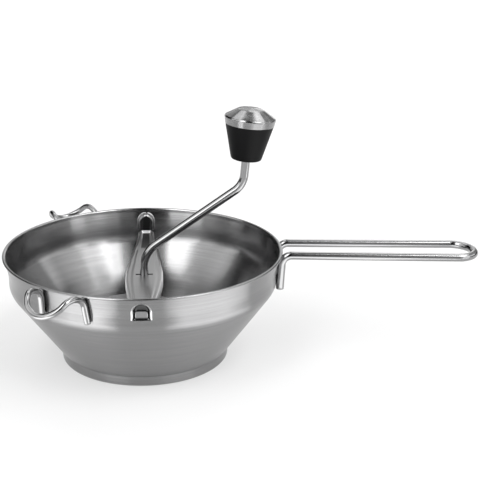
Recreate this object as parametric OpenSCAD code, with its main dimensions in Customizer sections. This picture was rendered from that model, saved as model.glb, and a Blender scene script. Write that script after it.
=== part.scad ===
// Rotary food mill: a footed steel bowl with a perforated sieve disc in its
// foot, a sprung cross bar, a cranked scraper blade, a long wire handle and
// two wire pot hooks.
// Origin: on the bowl axis, at the foot's bottom plane. +Z up the crank axis,
// +X towards the long handle, the cross bar along Y. Millimetres.

/* [Bowl] */
// Outer diameter over the rim hem
rim_d = 190; // [186:1:194]
// Height of the rim above the table
bowl_h = 76.1; // [75.7:0.1:76.9]
// Outer diameter of the straight foot ring
foot_d = 115; // [112:1:118]
// Height of the straight foot ring
foot_h = 6.8; // [6:0.2:8]
// Sheet thickness of the bowl
sheet_t = 0.7; // [0.6:0.05:0.8]
// Inner radius of the ledge that carries the sieve disc
ledge_r = 51.5; // [50:0.5:52.5]
// Half width of the pressed bar seat in the wall
seat_hw = 6.5; // [6.2:0.1:7]
// Height of the lower lanced edge of the bar seat
seat_z = 60.6; // [60.5:0.1:60.7]

/* [Handle] */
// Handle wire diameter
handle_wire_d = 5.5; // [5:0.1:5.8]
// Reach of the handle from the axis to its tip
handle_reach = 231.8; // [215:0.1:245]
// Half spacing of the two handle wires at the bowl
handle_half = 13.1; // [12:0.1:15]
// Half spacing of the two handle wires at the tip
handle_half_tip = 14.5; // [13:0.1:16]
// Fall of the handle over its length
handle_fall = 2.8; // [0:0.1:5]

/* [Pot hooks] */
// Hook wire diameter
hook_wire_d = 4; // [3.6:0.1:4.2]
// Direction of the front hook from the handle, in degrees
hook_angle = 121.4; // [115:0.2:128]
// Direction of the back hook from the handle, in degrees
hook_back_angle = 122.6; // [115:0.2:128]
// Reach of the hook from the bowl axis
hook_reach = 118.7; // [116:0.1:121]

/* [Sieve disc] */
// Hole diameter of the sieve
sieve_hole_d = 2.6; // [1.5:0.1:3]
// Hole spacing of the sieve
sieve_pitch = 4.8; // [4.6:0.1:6]
// Thickness of the sieve disc
sieve_t = 0.8; // [0.7:0.05:0.9]

/* [Cross bar] */
// Half width of the bar at its middle
bar_hw = 12.9; // [12:0.1:13.2]
// Height of the bar's top face at its middle
bar_z = 57; // [56.6:0.1:57.2]
// Thickness of the bar's sheet
bar_t = 1; // [0.9:0.05:1.1]
// Depth of the down-turned flanges at the middle
bar_flange = 5; // [4:0.1:6]

/* [Crank] */
// Crank rod diameter
rod_d = 5.8; // [5.6:0.1:6]
// Height of the lower bend's corner above the table
bend_z = 72.8; // [70.6:0.1:73]
// Distance of the knob from the crank axis
knob_x = 69.3; // [65:0.1:74]
// Height of the knob's lower face
knob_z = 138.2; // [134:0.1:142]
// Lean of the knob from the vertical, in degrees
knob_lean = 5.2; // [3:0.1:8]
// Running clearance on the radius, between the rod and its bores
run = 0.06; // [0.03:0.01:0.09]

/* [Scraper blade] */
// Radius of the blade's outline
blade_r = 54; // [52:0.5:54.5]
// Rise of the blade's far edge above its scraping edge
blade_rise = 19.8; // [15:0.2:22]
// Direction of the blade's raised side from the crank, in degrees
blade_dir = 113; // [0:1:359]
// Thickness of the blade's sheet
blade_t = 1.2; // [1:0.1:1.5]

/* [Hidden] */

STEEL = [0.74, 0.74, 0.75];
STEEL_BRIGHT = [0.82, 0.82, 0.83];
STEEL_DARK = [0.62, 0.62, 0.64];
BLACK = [0.06, 0.06, 0.06];

rim_r = rim_d / 2;
foot_r = foot_d / 2;
wall_r = rim_r - 3.75;          // outer radius of the upright wall
rod_r = rod_d / 2;
e = 0.01;
RF = 180;                       // facets asked of each turned shape

// ---------- vector helpers ----------
function unit(v) = v / norm(v);
function sub(l, a, b) = [for (i = [a : b]) l[i]];
function dir2(a) = [cos(a), sin(a)];
// tangent length taken by a fillet of radius r at corner i of path p
function turn(p, i) = acos(max(-1, min(1, unit(p[i] - p[i-1]) * unit(p[i+1] - p[i]))));
function tlen(p, i, r) = r * tan(turn(p, i) / 2);
// a 2-D path with its inner corners rounded; rr is one radius per corner
function round2(p, rr, n = 8) = [
  for (i = [0 : len(p) - 1])
    if (i == 0 || i == len(p) - 1 || rr[i] <= 0) p[i]
    else
      let (a = unit(p[i-1] - p[i]), b = unit(p[i+1] - p[i]),
           tl = tlen(p, i, rr[i]), t = turn(p, i),
           c = p[i] + unit(a + b) * (rr[i] / cos(t / 2)),
           s = p[i] + a * tl, q = p[i] + b * tl,
           m = max(2, ceil(n * t / 60)))
      each [for (k = [0 : m])
        let (w = k / m, f = sin((1 - w) * t) / sin(t), g = sin(w * t) / sin(t))
        c + (s - c) * f + (q - c) * g]
];
// left-hand normal of a 2-D path at point i, lengthened at the corners
function nrm2(p, i) =
  let (u = i == 0 ? unit(p[1] - p[0]) : unit(p[i] - p[i-1]),
       v = i == len(p) - 1 ? u : unit(p[i+1] - p[i]),
       nu = [-u[1], u[0]], nv = [-v[1], v[0]], m = unit(nu + nv))
  m / max(0.3, m * nu);
function shift2(p, d) = [for (i = [0 : len(p) - 1]) p[i] + nrm2(p, i) * d];
function rev(p) = [for (i = [len(p) - 1 : -1 : 0]) p[i]];
// a sheet of thickness t along a 2-D path
module strip2(p, t) { polygon(concat(shift2(p, t / 2), rev(shift2(p, -t / 2)))); }

// ---------- bent wire: a round section carried along straight runs and bends ----------
// points of path p with corner i rounded to radius rr[i], each with its direction
function path3(p, rr, st = 9) = [
  for (i = [0 : len(p) - 1])
    if (i == 0) [p[0], unit(p[1] - p[0])]
    else if (i == len(p) - 1) [p[i], unit(p[i] - p[i-1])]
    else
      let (u = unit(p[i] - p[i-1]), v = unit(p[i+1] - p[i]), t = turn(p, i),
           c = p[i] + unit(v - u) * (rr[i] / cos(t / 2)),
           s = p[i] - u * tlen(p, i, rr[i]), q = p[i] + v * tlen(p, i, rr[i]),
           m = max(2, ceil(t / st)))
      each [for (k = [0 : m])
        let (w = k / m, f = sin((1 - w) * t) / sin(t), g = sin(w * t) / sin(t))
        [c + (s - c) * f + (q - c) * g, unit(u * f + v * g)]]
];
// a side vector carried along the path without twist
function sides(pt) = let (t0 = pt[0][1], n0 = unit(cross(t0, abs(t0[1]) < 0.9 ? [0, 1, 0] : [0, 0, 1])))
  [for (i = 0, n = n0; i < len(pt);
        i = i + 1, n = i < len(pt) ? unit(n - pt[i][1] * (n * pt[i][1])) : n) n];
// points of path p drawn as one easy curve; the first and last corner keep their straight legs
function lead(a, b, end) = a + (b - a) * (end ? min(0.5, 5.5 / norm(b - a)) : 0.5);
function soft3(p, m = 6) = let (n = len(p) - 1) concat([[p[0], unit(p[1] - p[0])]],
  [for (i = [1 : n - 1]) let (a = lead(p[i], p[i-1], i == 1), b = lead(p[i], p[i+1], i == n - 1))
    each [for (k = [i == 1 ? 0 : 1 : m]) let (w = k / m)
      [a * pow(1 - w, 2) + p[i] * (2 * w * (1 - w)) + b * (w * w), unit((p[i] - a) * (1 - w) + (b - p[i]) * w)]]],
  [[p[n], unit(p[n] - p[n-1])]]);
module wire(p, rr, r, m = 24) { sweep(path3(p, rr), r, m); }
module sweep(pt, r, m = 24) {
  ns = sides(pt); n = len(pt) - 1;
  pts = [for (i = [0 : n]) let (b = cross(ns[i], pt[i][1])) for (j = [0 : m - 1])
    pt[i][0] + ns[i] * r * cos(360 * j / m) + b * r * sin(360 * j / m)];
  polyhedron(points = pts, faces = tube_faces(n, m), convexity = 8);
}
function tube_faces(n, m) = concat(
  [[for (j = [m - 1 : -1 : 0]) j]], [[for (j = [0 : m - 1]) n * m + j]],
  [for (i = [0 : n - 1]) for (j = [0 : m - 1]) [(i + 1) * m + (j + 1) % m, (i + 1) * m + j, i * m + j]],
  [for (i = [0 : n - 1]) for (j = [0 : m - 1]) [i * m + (j + 1) % m, (i + 1) * m + (j + 1) % m, i * m + j]]);

// ---------- bowl ----------
// outer face of the wall, (radius, height), foot crease to just under the hem
cone_end = [wall_r, 53.1];
flare = [for (k = [1 : 5]) let (w = k / 5) [wall_r + 0.05 + 1.85 * pow(w, 1.5), 62.2 + 10.4 * w]];
bend_pts = round2([[foot_r + 0.8, foot_h + 0.5], cone_end, [wall_r + 0.05, 62.2]], [0, 12, 0], 10);
outer_path = concat([[foot_r, 2], [foot_r, foot_h]], bend_pts, flare);
// mid line of the whole sheet: ledge, foot, cone, wall, hem out and back
h2 = sheet_t / 2;
sheet_mid = concat(
  [[ledge_r, h2], [foot_r - 1.3, h2], [foot_r - h2 - 0.28, h2 + 0.28], [foot_r - h2, h2 + 1]],
  sub(shift2(outer_path, h2), 1, len(outer_path) - 2),
  [[rim_r - 2.12, bowl_h - 1.4], [rim_r - 1.93, bowl_h - h2 - 0.35], [rim_r - 1.5, bowl_h - h2],
   [rim_r - 0.85, bowl_h - h2], [rim_r - 0.5, bowl_h - h2 - 0.15], [rim_r - h2, bowl_h - 0.8],
   [rim_r - 0.5, bowl_h - 1.1], [rim_r - 0.85, bowl_h - 1.25], [rim_r - 1.2, bowl_h - 1.25]]);
// outer radius of the wall at height z
function wall_at(z) = z <= 62.2 ? wall_r + 0.05 : wall_r + 0.05 + 1.85 * pow((z - 62.2) / 10.4, 1.5);

seat_c = seat_z + 6.05;         // centre height of the seat's round top
seat_in = wall_r - 4;           // inner face of the pressed seat, from the axis
module arch(hw, lo) {
  translate([-hw, lo]) square([2 * hw, seat_c - lo + 0.01]);
  intersection() {
    translate([0, seat_c]) circle(r = hw, $fn = 96);
    translate([-hw, seat_c]) square([2 * hw, hw]);
  }
}
// arch shape standing in the XZ plane, from y0 to y1
module arch_y(hw, lo, y0, y1) {
  translate([0, y1, 0]) rotate([90, 0, 0]) linear_extrude(y1 - y0) arch(hw, lo);
}
module bowl() {
  color(STEEL)
  union() {
    difference() {
      rotate_extrude($fn = RF) strip2(sheet_mid, sheet_t);
      for (s = [0, 180]) rotate([0, 0, s]) arch_y(seat_hw - e, seat_z, -rim_r - 2, -wall_r + 6);
    }
    intersection() {
      difference() {
        for (s = [0, 180]) rotate([0, 0, s]) arch_y(seat_hw, seat_z, -rim_r, -seat_in);
        for (s = [0, 180]) rotate([0, 0, s]) arch_y(seat_hw - sheet_t, seat_z - 1, -rim_r - 1, -seat_in - sheet_t);
      }
      rotate_extrude($fn = RF) polygon(concat([[0, 55]], [for (k = [0 : 12]) let (z = 55 + 18.3 * k / 12) [wall_at(z) - 0.02, z]], [[0, 73.3]]));
    }
  }
}

// ---------- handle ----------
hr = handle_wire_d / 2;
leg_x = sqrt(pow(wall_r + 0.05 + hr - 0.12, 2) - pow(handle_half, 2));
handle_z = 74.1;
module handle_wire() {
  tip = handle_reach - hr - handle_half_tip;
  zt = handle_z - handle_fall;
  half = [[leg_x - 0.5, -handle_half, 50.1], [leg_x + 0.9, -handle_half, handle_z],
          [tip, -handle_half_tip, zt],
          [tip + handle_half_tip, -handle_half_tip, zt - 0.3]];
  p = concat(half, [[tip + handle_half_tip, handle_half_tip, zt - 0.3]], [for (i = [2 : -1 : 0]) [half[i][0], -half[i][1], half[i][2]]]);
  q = [p[0], p[1], p[3], p[4], p[6], p[7]];
  color(STEEL_BRIGHT) wire(q, [0, 6.6, handle_half_tip - 0.6, handle_half_tip - 0.6, 6.6, 0], hr);
}

// ---------- pot hooks ----------
kr = hook_wire_d / 2;
// points of half a hook: sideways, outward from the axis, up
function hook_half() = let (b = wall_r + 0.05 + kr - 0.25) [
  [17.2, sqrt(b * b - 17.2 * 17.2), 57.5],
  [16.2, 94.1, 74.1],
  [15.4, 106.4, 78.2],
  [11.4, hook_reach - 4.7, 71.2],
  [0, hook_reach - 1.2, 67]];
module hook() {
  h = hook_half();
  sweep(soft3(concat([for (q = h) [q[1], q[0], q[2]]], [for (i = [3 : -1 : 0]) [h[i][1], -h[i][0], h[i][2]]])), kr);
}
module pot_hook_front() { color(STEEL_BRIGHT) rotate([0, 0, -hook_angle]) hook(); }
module pot_hook_back() { color(STEEL_BRIGHT) rotate([0, 0, hook_back_angle]) hook(); }

// ---------- sieve disc ----------
disc_z = sheet_t;
disc_r = foot_r - sheet_t - 0.95;
eyelet_r = 4;
// staggered rows of holes, kept off the middle and the rim
function holes(p, r0, r1) = [for (j = [-14 : 14]) for (i = [-16 : 16])
  let (x = (i + (j % 2 == 0 ? 0 : 0.5)) * p, y = j * p * sqrt(3) / 2, d = norm([x, y]))
  if (d > r0 && d < r1) [x, y]];
module sieve_disc() {
  color(STEEL_DARK) {
    translate([0, 0, disc_z]) linear_extrude(sieve_t) difference() {
      circle(r = disc_r, $fn = RF);
      circle(r = eyelet_r, $fn = 48);
      for (q = holes(sieve_pitch, 10.5, disc_r - 5.4)) translate(q) circle(d = sieve_hole_d, $fn = 24);
    }
    translate([0, 0, disc_z]) rotate_extrude($fn = RF)
      translate([disc_r - 0.8, 0]) square([0.8, 2.4]);
  }
}
module disc_eyelet() {
  color(STEEL) rotate_extrude($fn = 72) polygon([
    [rod_r + run, 0.2], [5.6, 0.2], [6, 0.35], [6, disc_z], [eyelet_r, disc_z],
    [eyelet_r, disc_z + sieve_t], [6, disc_z + sieve_t], [6, disc_z + sieve_t + 0.3],
    [5.6, disc_z + sieve_t + 0.5], [eyelet_r + 0.2, disc_z + sieve_t + 0.5],
    [eyelet_r - 0.2, disc_z + sieve_t + 1.2], [eyelet_r - 0.3, 3.4], [rod_r + run + 0.3, 3.6], [rod_r + run, 3.3]]);
}

// ---------- cross bar ----------
bar_mid = bar_z - bar_t / 2;
tab_y = wall_r - 2.2;           // mid plane of the upturned tab
tab_top = 66;
side_path = round2([[0, bar_mid], [24, bar_mid], [tab_y, seat_z - 1.42], [tab_y, tab_top]], [0, 40, 3.2, 0], 10);
// half width of the bar at distance y from its middle
function bar_w(y) = y < 8 ? bar_hw : y < 30 ? bar_hw - 1.8 * (y - 8) / 22 : y < 46 ? bar_hw - 1.8 - (bar_hw - 11.1) * (y - 30) / 16 : y < 64 ? 9.3 - 2.1 * (y - 46) / 18 : y < 85.5 ? 7.2 - 1.3 * (y - 64) / 21.5 : 5.9;
bar_ys = [0, 8, 30, 46, 64, 85.5];
function bar_outline(d, y1) = let (ys = concat([for (y = bar_ys) if (y < y1) y], [y1]))
  concat([for (y = rev(ys)) [-(bar_w(y) - d), -y]], [for (y = ys) [-(bar_w(y) - d), y]],
         [for (y = rev(ys)) [bar_w(y) - d, y]], [for (y = ys) [bar_w(y) - d, -y]]);
function plate_z(y) = y < 24 ? bar_mid : bar_mid + (seat_z - 1.42 - bar_mid) * (y - 24) / (tab_y - 24);
module along_x(hw) { translate([-hw, 0, 0]) rotate([90, 0, 90]) linear_extrude(2 * hw) children(); }
module both_ways() { children(); mirror([0, 1, 0]) children(); }
module cross_bar() {
  color(STEEL_BRIGHT) difference() {
    union() {
      // plate with its upturned ends
      intersection() {
        along_x(20) both_ways2() strip2(side_path, bar_t);
        union() {
          translate([0, 0, 40]) linear_extrude(40) polygon(bar_outline(0, 85.5));
          for (s = [0, 180]) rotate([0, 0, s]) hull_tab();
        }
      }
      // down-turned flanges
      intersection() {
        translate([0, 0, 40]) linear_extrude(40) difference() {
          polygon(bar_outline(0, 83));
          polygon(bar_outline(bar_t, 83.1));
        }
        along_x(20) polygon(concat(
          [for (y = [-83, -24, 24, 83]) [y, plate_z(abs(y))]],
          [[83, plate_z(83) - 2.2], [62, plate_z(62) - 2.8], [46, plate_z(46) - 4.6], [14, bar_z - bar_flange], [-14, bar_z - bar_flange],
           [-46, plate_z(46) - 4.6], [-62, plate_z(62) - 2.8], [-83, plate_z(83) - 2.2]]));
      }
      // underside of the pressed grooves
      for (s = [0, 180]) rotate([0, 0, s]) groove(2.75 + 0.8, -bar_t / 2 - 1, 1.2);
    }
    // pressed grooves in the necks
    for (s = [0, 180]) rotate([0, 0, s]) groove(2.75, -bar_t / 2 + 0.1, 4);
    // rod bore with the two slits that let the rod's ears through
    translate([0, 0, 45]) cylinder(r = rod_r + run, h = 20, $fn = 64);
    translate([-5.9, -1.15, 45]) cube([11.8, 2.3, 20]);
  }
}
module both_ways2() { children(); mirror([1, 0]) children(); }
module hull_tab() {
  translate([-3.8, 84, 40]) cube([7.6, 8, tab_top - 41.4]);
  translate([-2.4, 84, 60]) cube([4.8, 8, 12]);
  for (sx = [-1, 1]) translate([sx * 2.4, 84, tab_top - 1.4]) rotate([-90, 0, 0]) cylinder(r = 1.4, h = 8, $fn = 32);
}
// a groove with a round inner end, following the neck's slope
module groove(hw, z0, h) {
  y0 = 53; y1 = 84; a = atan((plate_z(y1) - plate_z(y0)) / (y1 - y0));
  translate([0, y0, plate_z(y0) + z0]) rotate([a, 0, 0]) linear_extrude(h) {
    translate([0, 2.75]) circle(r = hw, $fn = 48);
    translate([-hw, 2.75]) square([2 * hw, y1 - y0 - 2.75]);
  }
}

// ---------- spring and its washers ----------
wash_t = 1;
seat_top = 38;                  // top face of the lower washer
spring_len = bar_z - bar_t - wash_t - seat_top;
coil_r = 5.6;
coil_wire = 1.3;
coils = 6.5;
module ring(z, ro, ri, h) { translate([0, 0, z]) difference() { cylinder(r = ro, h = h, $fn = 72); translate([0, 0, -1]) cylinder(r = ri, h = h + 2, $fn = 72); } }
module spring_top_washer() { color(STEEL) ring(bar_z - bar_t - wash_t, 7.6, rod_r + 0.45, wash_t); }
module spring_seat_washer() { color(STEEL) ring(seat_top - wash_t, 7.6, rod_r + run, wash_t); }
// height of the coil at turn fraction w: end turns lie flat
function coil_h(w) = let (r = coil_wire / 2, l = spring_len - coil_wire, k = 0.9 / coils)
  r + l * (w < k ? 0.5 * w * w / k : w > 1 - k ? 1 - k - 0.5 * (1 - w) * (1 - w) / k + 0 : w - 0.5 * k) / (1 - k);
module crank_spring() {
  n = 104; m = 8; r = coil_wire / 2;
  pts = [for (i = [0 : n]) let (w = i / n, a = 360 * coils * w) for (j = [0 : m - 1])
    let (b = 360 * j / m, q = coil_r + r * cos(b)) [q * cos(a), q * sin(a), seat_top + coil_h(w) + r * sin(b)]];
  color(STEEL_BRIGHT) polyhedron(points = pts, faces = tube_faces(n, m), convexity = 10);
}

// ---------- crank ----------
kd = [sin(knob_lean), 0, cos(knob_lean)];
knob_o = [knob_x, 0, knob_z];
incline = 0.702;                // rise of the sloping run per unit reach
up_x = (knob_x - kd[0] / kd[2] * (knob_z - bend_z)) / (1 - incline * kd[0] / kd[2]);
up_z = bend_z + incline * up_x;
module at_knob() { translate(knob_o) rotate([0, knob_lean, 0]) children(); }
module crank_rod() {
  color(STEEL_BRIGHT) difference() {
    union() {
      // straight lower length, bent middle, straight upper length in the knob
      translate([0, 0, 1.4]) cylinder(r = rod_r, h = 61, $fn = 64);
      wire([[0, 0, 58], [0, 0, bend_z], [up_x, 0, up_z], knob_o - kd * 4], [0, 20, 15, 0], rod_r - 0.01, 32);
      at_knob() translate([0, 0, -4.6]) cylinder(r = rod_r, h = 32.2, $fn = 64);
      // rounded lower pivot end
      translate([0, 0, 0.6]) cylinder(r1 = rod_r - 0.8, r2 = rod_r, h = 0.8, $fn = 64);
      // pinched ears that carry the spring seat
      translate([-5.4, -1, seat_top - wash_t - 3.4]) cube([10.8, 2, 3.35]);
      // pinched ears that carry the knob
      at_knob() translate([-1, -5, 1]) cube([2, 10, 3]);
    }
    // cross hole for the blade pin
    rotate([0, 0, blade_dir]) translate([0, 10, 14.5]) rotate([90, 0, 0]) cylinder(r = 1, h = 20, $fn = 32);
  }
}

// ---------- scraper blade ----------
edge_s = -12;                   // distance of the scraping edge from the axis
edge_z = disc_z + sieve_t + 0.3;       // underside of the scraping edge
slope = blade_rise / (blade_r - edge_s);
blade_mid = round2([[edge_s - 6.2, edge_z + blade_t / 2 + 5.2], [edge_s - 0.9, edge_z + blade_t / 2 - 0.15],
                    [blade_r + 4, edge_z + blade_t / 2 + slope * (blade_r + 4 - edge_s)]], [0, 2.6, 0], 10);
module blade_side(p) { translate([0, 60, 0]) rotate([90, 0, 0]) linear_extrude(120) polygon(p); }
module scraper_blade() {
  color(STEEL) rotate([0, 0, blade_dir]) difference() {
    intersection() {
      translate([0, 60, 0]) rotate([90, 0, 0]) linear_extrude(120) strip2(blade_mid, blade_t);
      cylinder(r = blade_r, h = 60, $fn = RF);
    }
    cylinder(r = rod_r + run, h = 40, $fn = 64);
  }
}
plate_top = edge_z + blade_t / 2 - slope * edge_s + blade_t / 2 / cos(atan(slope)); // blade's top face on the axis
module blade_hub() {
  color(STEEL_DARK) rotate([0, 0, blade_dir]) difference() {
    union() {
      translate([0, 0, 4]) cylinder(r = 6.4, h = 14.6, $fn = 72);
      translate([0, 0, 18.6]) cylinder(r1 = 6.4, r2 = 5.6, h = 0.8, $fn = 72);
    }
    cylinder(r = rod_r, h = 40, $fn = 64);
    blade_side([[-20, -5], [20, -5], [20, plate_top + 20 * slope + 0.001], [-20, plate_top - 20 * slope + 0.001]]);
    translate([0, 10, 14.5]) rotate([90, 0, 0]) cylinder(r = 1, h = 20, $fn = 32);
  }
}
module blade_pin() { color(STEEL_BRIGHT) rotate([0, 0, blade_dir]) translate([0, 6.1, 14.5]) rotate([90, 0, 0]) cylinder(r = 1, h = 12.2, $fn = 32); }

// ---------- knob ----------
module knob_grip() {
  color(BLACK) at_knob() rotate_extrude($fn = 120) polygon(concat(
    [[rod_r + run, 5.1], [6.4, 5.1], [6.6, 0.3], [7, 0]],
    round2([[7, 0], [10.15, 0], [16.15, 23.75]], [0, 1.7, 0], 16),
    [[15.6, 23.95], [15.2, 24.15], [15, 26.8], [14.5, 27.2], [8.6, 27.2], [8.6, 23.4], [rod_r + run, 23.4]]));
}
cap_out = round2([[16.37, 23.9], [17.3, 28.9], [8.4, 34.3], [0, 34.9]], [0, 1.5, 5, 0], 16);
module knob_cap() {
  color(STEEL) at_knob() rotate_extrude($fn = 120)
    polygon(concat(cap_out, [for (q = rev(shift2(cap_out, 0.8))) [max(0, q[0]), q[1]]]));
}
module knob_lower_washer() { color(STEEL) at_knob() ring(4, 6, rod_r + 0.03, 1); }
module knob_top_washer() { color(STEEL) at_knob() ring(23.5, 6.6, rod_r + 0.03, 1); }
module knob_push_nut() {
  color(STEEL_DARK) at_knob() translate([0, 0, 24.5]) rotate_extrude($fn = 60)
    polygon([[rod_r, 0.6], [3.9, 0], [5.6, 0], [5.6, 0.5], [4.1, 0.5], [rod_r + 0.15, 1.7], [rod_r, 1.7]]);
}

bowl();
handle_wire();
pot_hook_front();
pot_hook_back();
sieve_disc();
disc_eyelet();
cross_bar();
spring_top_washer();
crank_spring();
spring_seat_washer();
crank_rod();
blade_hub();
blade_pin();
scraper_blade();
knob_grip();
knob_cap();
knob_lower_washer();
knob_top_washer();
knob_push_nut();
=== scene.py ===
import math

import bmesh
import bpy
import numpy as np
from mathutils import Matrix, Vector, geometry


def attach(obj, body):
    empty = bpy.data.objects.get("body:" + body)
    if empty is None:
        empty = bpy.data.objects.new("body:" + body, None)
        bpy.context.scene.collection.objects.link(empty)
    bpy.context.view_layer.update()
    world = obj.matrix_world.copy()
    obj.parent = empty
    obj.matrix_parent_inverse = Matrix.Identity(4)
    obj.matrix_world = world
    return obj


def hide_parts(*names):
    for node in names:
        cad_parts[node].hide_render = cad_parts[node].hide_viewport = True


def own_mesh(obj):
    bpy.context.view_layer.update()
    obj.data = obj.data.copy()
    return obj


# Rotary food mill: every piece is built here in millimetres in the CAD frame and scaled to metres.
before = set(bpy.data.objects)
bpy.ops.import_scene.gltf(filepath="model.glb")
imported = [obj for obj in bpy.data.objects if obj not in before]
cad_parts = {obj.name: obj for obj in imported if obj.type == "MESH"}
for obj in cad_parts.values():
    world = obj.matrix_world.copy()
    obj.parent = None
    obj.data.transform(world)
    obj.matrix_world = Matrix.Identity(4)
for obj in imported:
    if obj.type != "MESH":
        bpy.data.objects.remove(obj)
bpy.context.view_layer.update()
MM = 0.001

# ---------------------------------------------------------------- sizes, as in the CAD source
WALL_R = 91.25
RIM_R, BOWL_H, SHEET = 95.0, 76.1, 0.7
SEAT_HW, SEAT_Z, SEAT_C = 6.2, 60.6, 66.65
BAR_MID, TAB_Y, TAB_TOP = 56.5, 89.05, 66.0
ROD_R = 2.9
BEND_Z, KNOB_X, KNOB_Z, LEAN = 72.8, 69.3, 138.2, math.radians(5.2)
KD = np.array([math.sin(LEAN), 0, math.cos(LEAN)])
KO = np.array([KNOB_X, 0, KNOB_Z])
INCLINE = 0.702
UP_X = (KNOB_X - KD[0] / KD[2] * (KNOB_Z - BEND_Z)) / (1 - INCLINE * KD[0] / KD[2])
UP_Z = BEND_Z + INCLINE * UP_X
BLADE_DIR = math.radians(113)
DISC_Z, SIEVE_T = 0.7, 0.8


# ---------------------------------------------------------------- path helpers
def fillet(path, radii, step=7.0):
    """A polyline, 2-D or 3-D, with its inner corners rounded."""
    P = [np.array(p, float) for p in path]
    out = []
    for i, p in enumerate(P):
        if i in (0, len(P) - 1) or radii[i] <= 0:
            out.append(p)
            continue
        a, b = P[i - 1] - p, P[i + 1] - p
        a, b = a / np.linalg.norm(a), b / np.linalg.norm(b)
        turn = math.acos(float(np.clip(-a @ b, -1, 1)))
        if turn < 1e-3:
            out.append(p)
            continue
        tl = radii[i] * math.tan(turn / 2)
        s, q = p + a * tl, p + b * tl
        bis = (a + b) / np.linalg.norm(a + b)
        c = p + bis * radii[i] / math.cos(turn / 2)
        m = max(2, math.ceil(math.degrees(turn) / step))
        for k in range(m + 1):
            w = k / m
            f, g = math.sin((1 - w) * turn) / math.sin(turn), math.sin(w * turn) / math.sin(turn)
            out.append(c + (s - c) * f + (q - c) * g)
    return np.array(out)


def fillet_loop(path, radii, step=12.0):
    """The same for a closed 2-D outline."""
    n = len(path)
    P = [path[-1]] + list(path) + [path[0]]
    R = [0] + list(radii) + [0]
    full = fillet(P, R, step)
    # the first and last points are the doubled ends
    return full[1:-1] if n else full


def densify(P, most):
    out = [P[0]]
    for a, b in zip(P[:-1], P[1:]):
        m = max(1, math.ceil(float(np.linalg.norm(b - a)) / most))
        out += [a + (b - a) * k / m for k in range(1, m + 1)]
    return np.array(out)


def offset2(P, d):
    """A 2-D path moved sideways by d, to its left."""
    out = []
    n = len(P)
    for i in range(n):
        u = P[i] - P[i - 1] if i else P[1] - P[0]
        v = P[i + 1] - P[i] if i < n - 1 else u
        u, v = u / np.linalg.norm(u), v / np.linalg.norm(v)
        nu, nv = np.array([-u[1], u[0]]), np.array([-v[1], v[0]])
        m = nu + nv
        m = m / np.linalg.norm(m)
        out.append(P[i] + m * d / max(0.35, float(m @ nu)))
    return np.array(out)


def smooth01(x):
    x = np.clip(x, 0, 1)
    return x * x * (3 - 2 * x)


# ---------------------------------------------------------------- mesh helpers
def signed_volume(V, F):
    V = np.asarray(V, float)
    tris = [(f[0], f[k], f[k + 1]) for f in F for k in range(1, len(f) - 1)]
    t = np.array(tris)
    a, b, c = V[t[:, 0]], V[t[:, 1]], V[t[:, 2]]
    return float(np.einsum("ij,ij->i", a, np.cross(b, c)).sum() / 6)


def make(name, V, F, body, nodes, mat, uv=None, sharp=38.0, place=None, bevel=None):
    """One closed mesh as a piece: V in millimetres, standing for the CAD nodes."""
    V = np.asarray(V, float)
    if signed_volume(V - V.mean(0), F) < 0:
        F = [tuple(reversed(f)) for f in F]
    me = bpy.data.meshes.new(name)
    me.from_pydata((V * MM).tolist(), [], [tuple(int(i) for i in f) for f in F])
    if uv is not None:
        layer = me.uv_layers.new(name="run")
        uv = np.asarray(uv, float)
        data = np.zeros((len(me.loops), 2))
        for poly in me.polygons:
            li = list(poly.loop_indices)
            q = uv[[me.loops[i].vertex_index for i in li]].copy()
            for ax in (0, 1):
                if q[:, ax].max() - q[:, ax].min() > 0.5 and WRAP.get(name, (1, 0))[ax]:
                    q[q[:, ax] < 0.5, ax] += 1.0
            data[li] = q
        layer.data.foreach_set("uv", data.astype(np.float32).ravel())
    me.validate()
    me.polygons.foreach_set("use_smooth", [True] * len(me.polygons))
    me.update()
    ob = bpy.data.objects.new(name, me)
    bpy.context.scene.collection.objects.link(ob)
    if place is not None:
        ob.matrix_world = place
    if bevel:
        m = ob.modifiers.new("edge", "BEVEL")
        m.width = bevel * MM
        m.segments = 2
        m.limit_method = "ANGLE"
        m.angle_limit = math.radians(40)
        m.harden_normals = False
        apply_mods(ob)
    ob.data.set_sharp_from_angle(angle=math.radians(sharp))
    ob.data.materials.clear()
    ob.data.materials.append(mat)
    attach(ob, body)
    if nodes:
        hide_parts(*nodes)
    return ob


WRAP = {}


def apply_mods(ob):
    bpy.context.view_layer.update()
    dg = bpy.context.evaluated_depsgraph_get()
    me = bpy.data.meshes.new_from_object(ob.evaluated_get(dg))
    old = ob.data
    ob.modifiers.clear()
    ob.data = me
    bpy.data.meshes.remove(old)


def ring_faces(n_rings, m, closed=False):
    F = []
    for i in range(n_rings if closed else n_rings - 1):
        a, b = i * m, ((i + 1) % n_rings) * m
        F += [(a + j, a + (j + 1) % m, b + (j + 1) % m, b + j) for j in range(m)]
    return F


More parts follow.
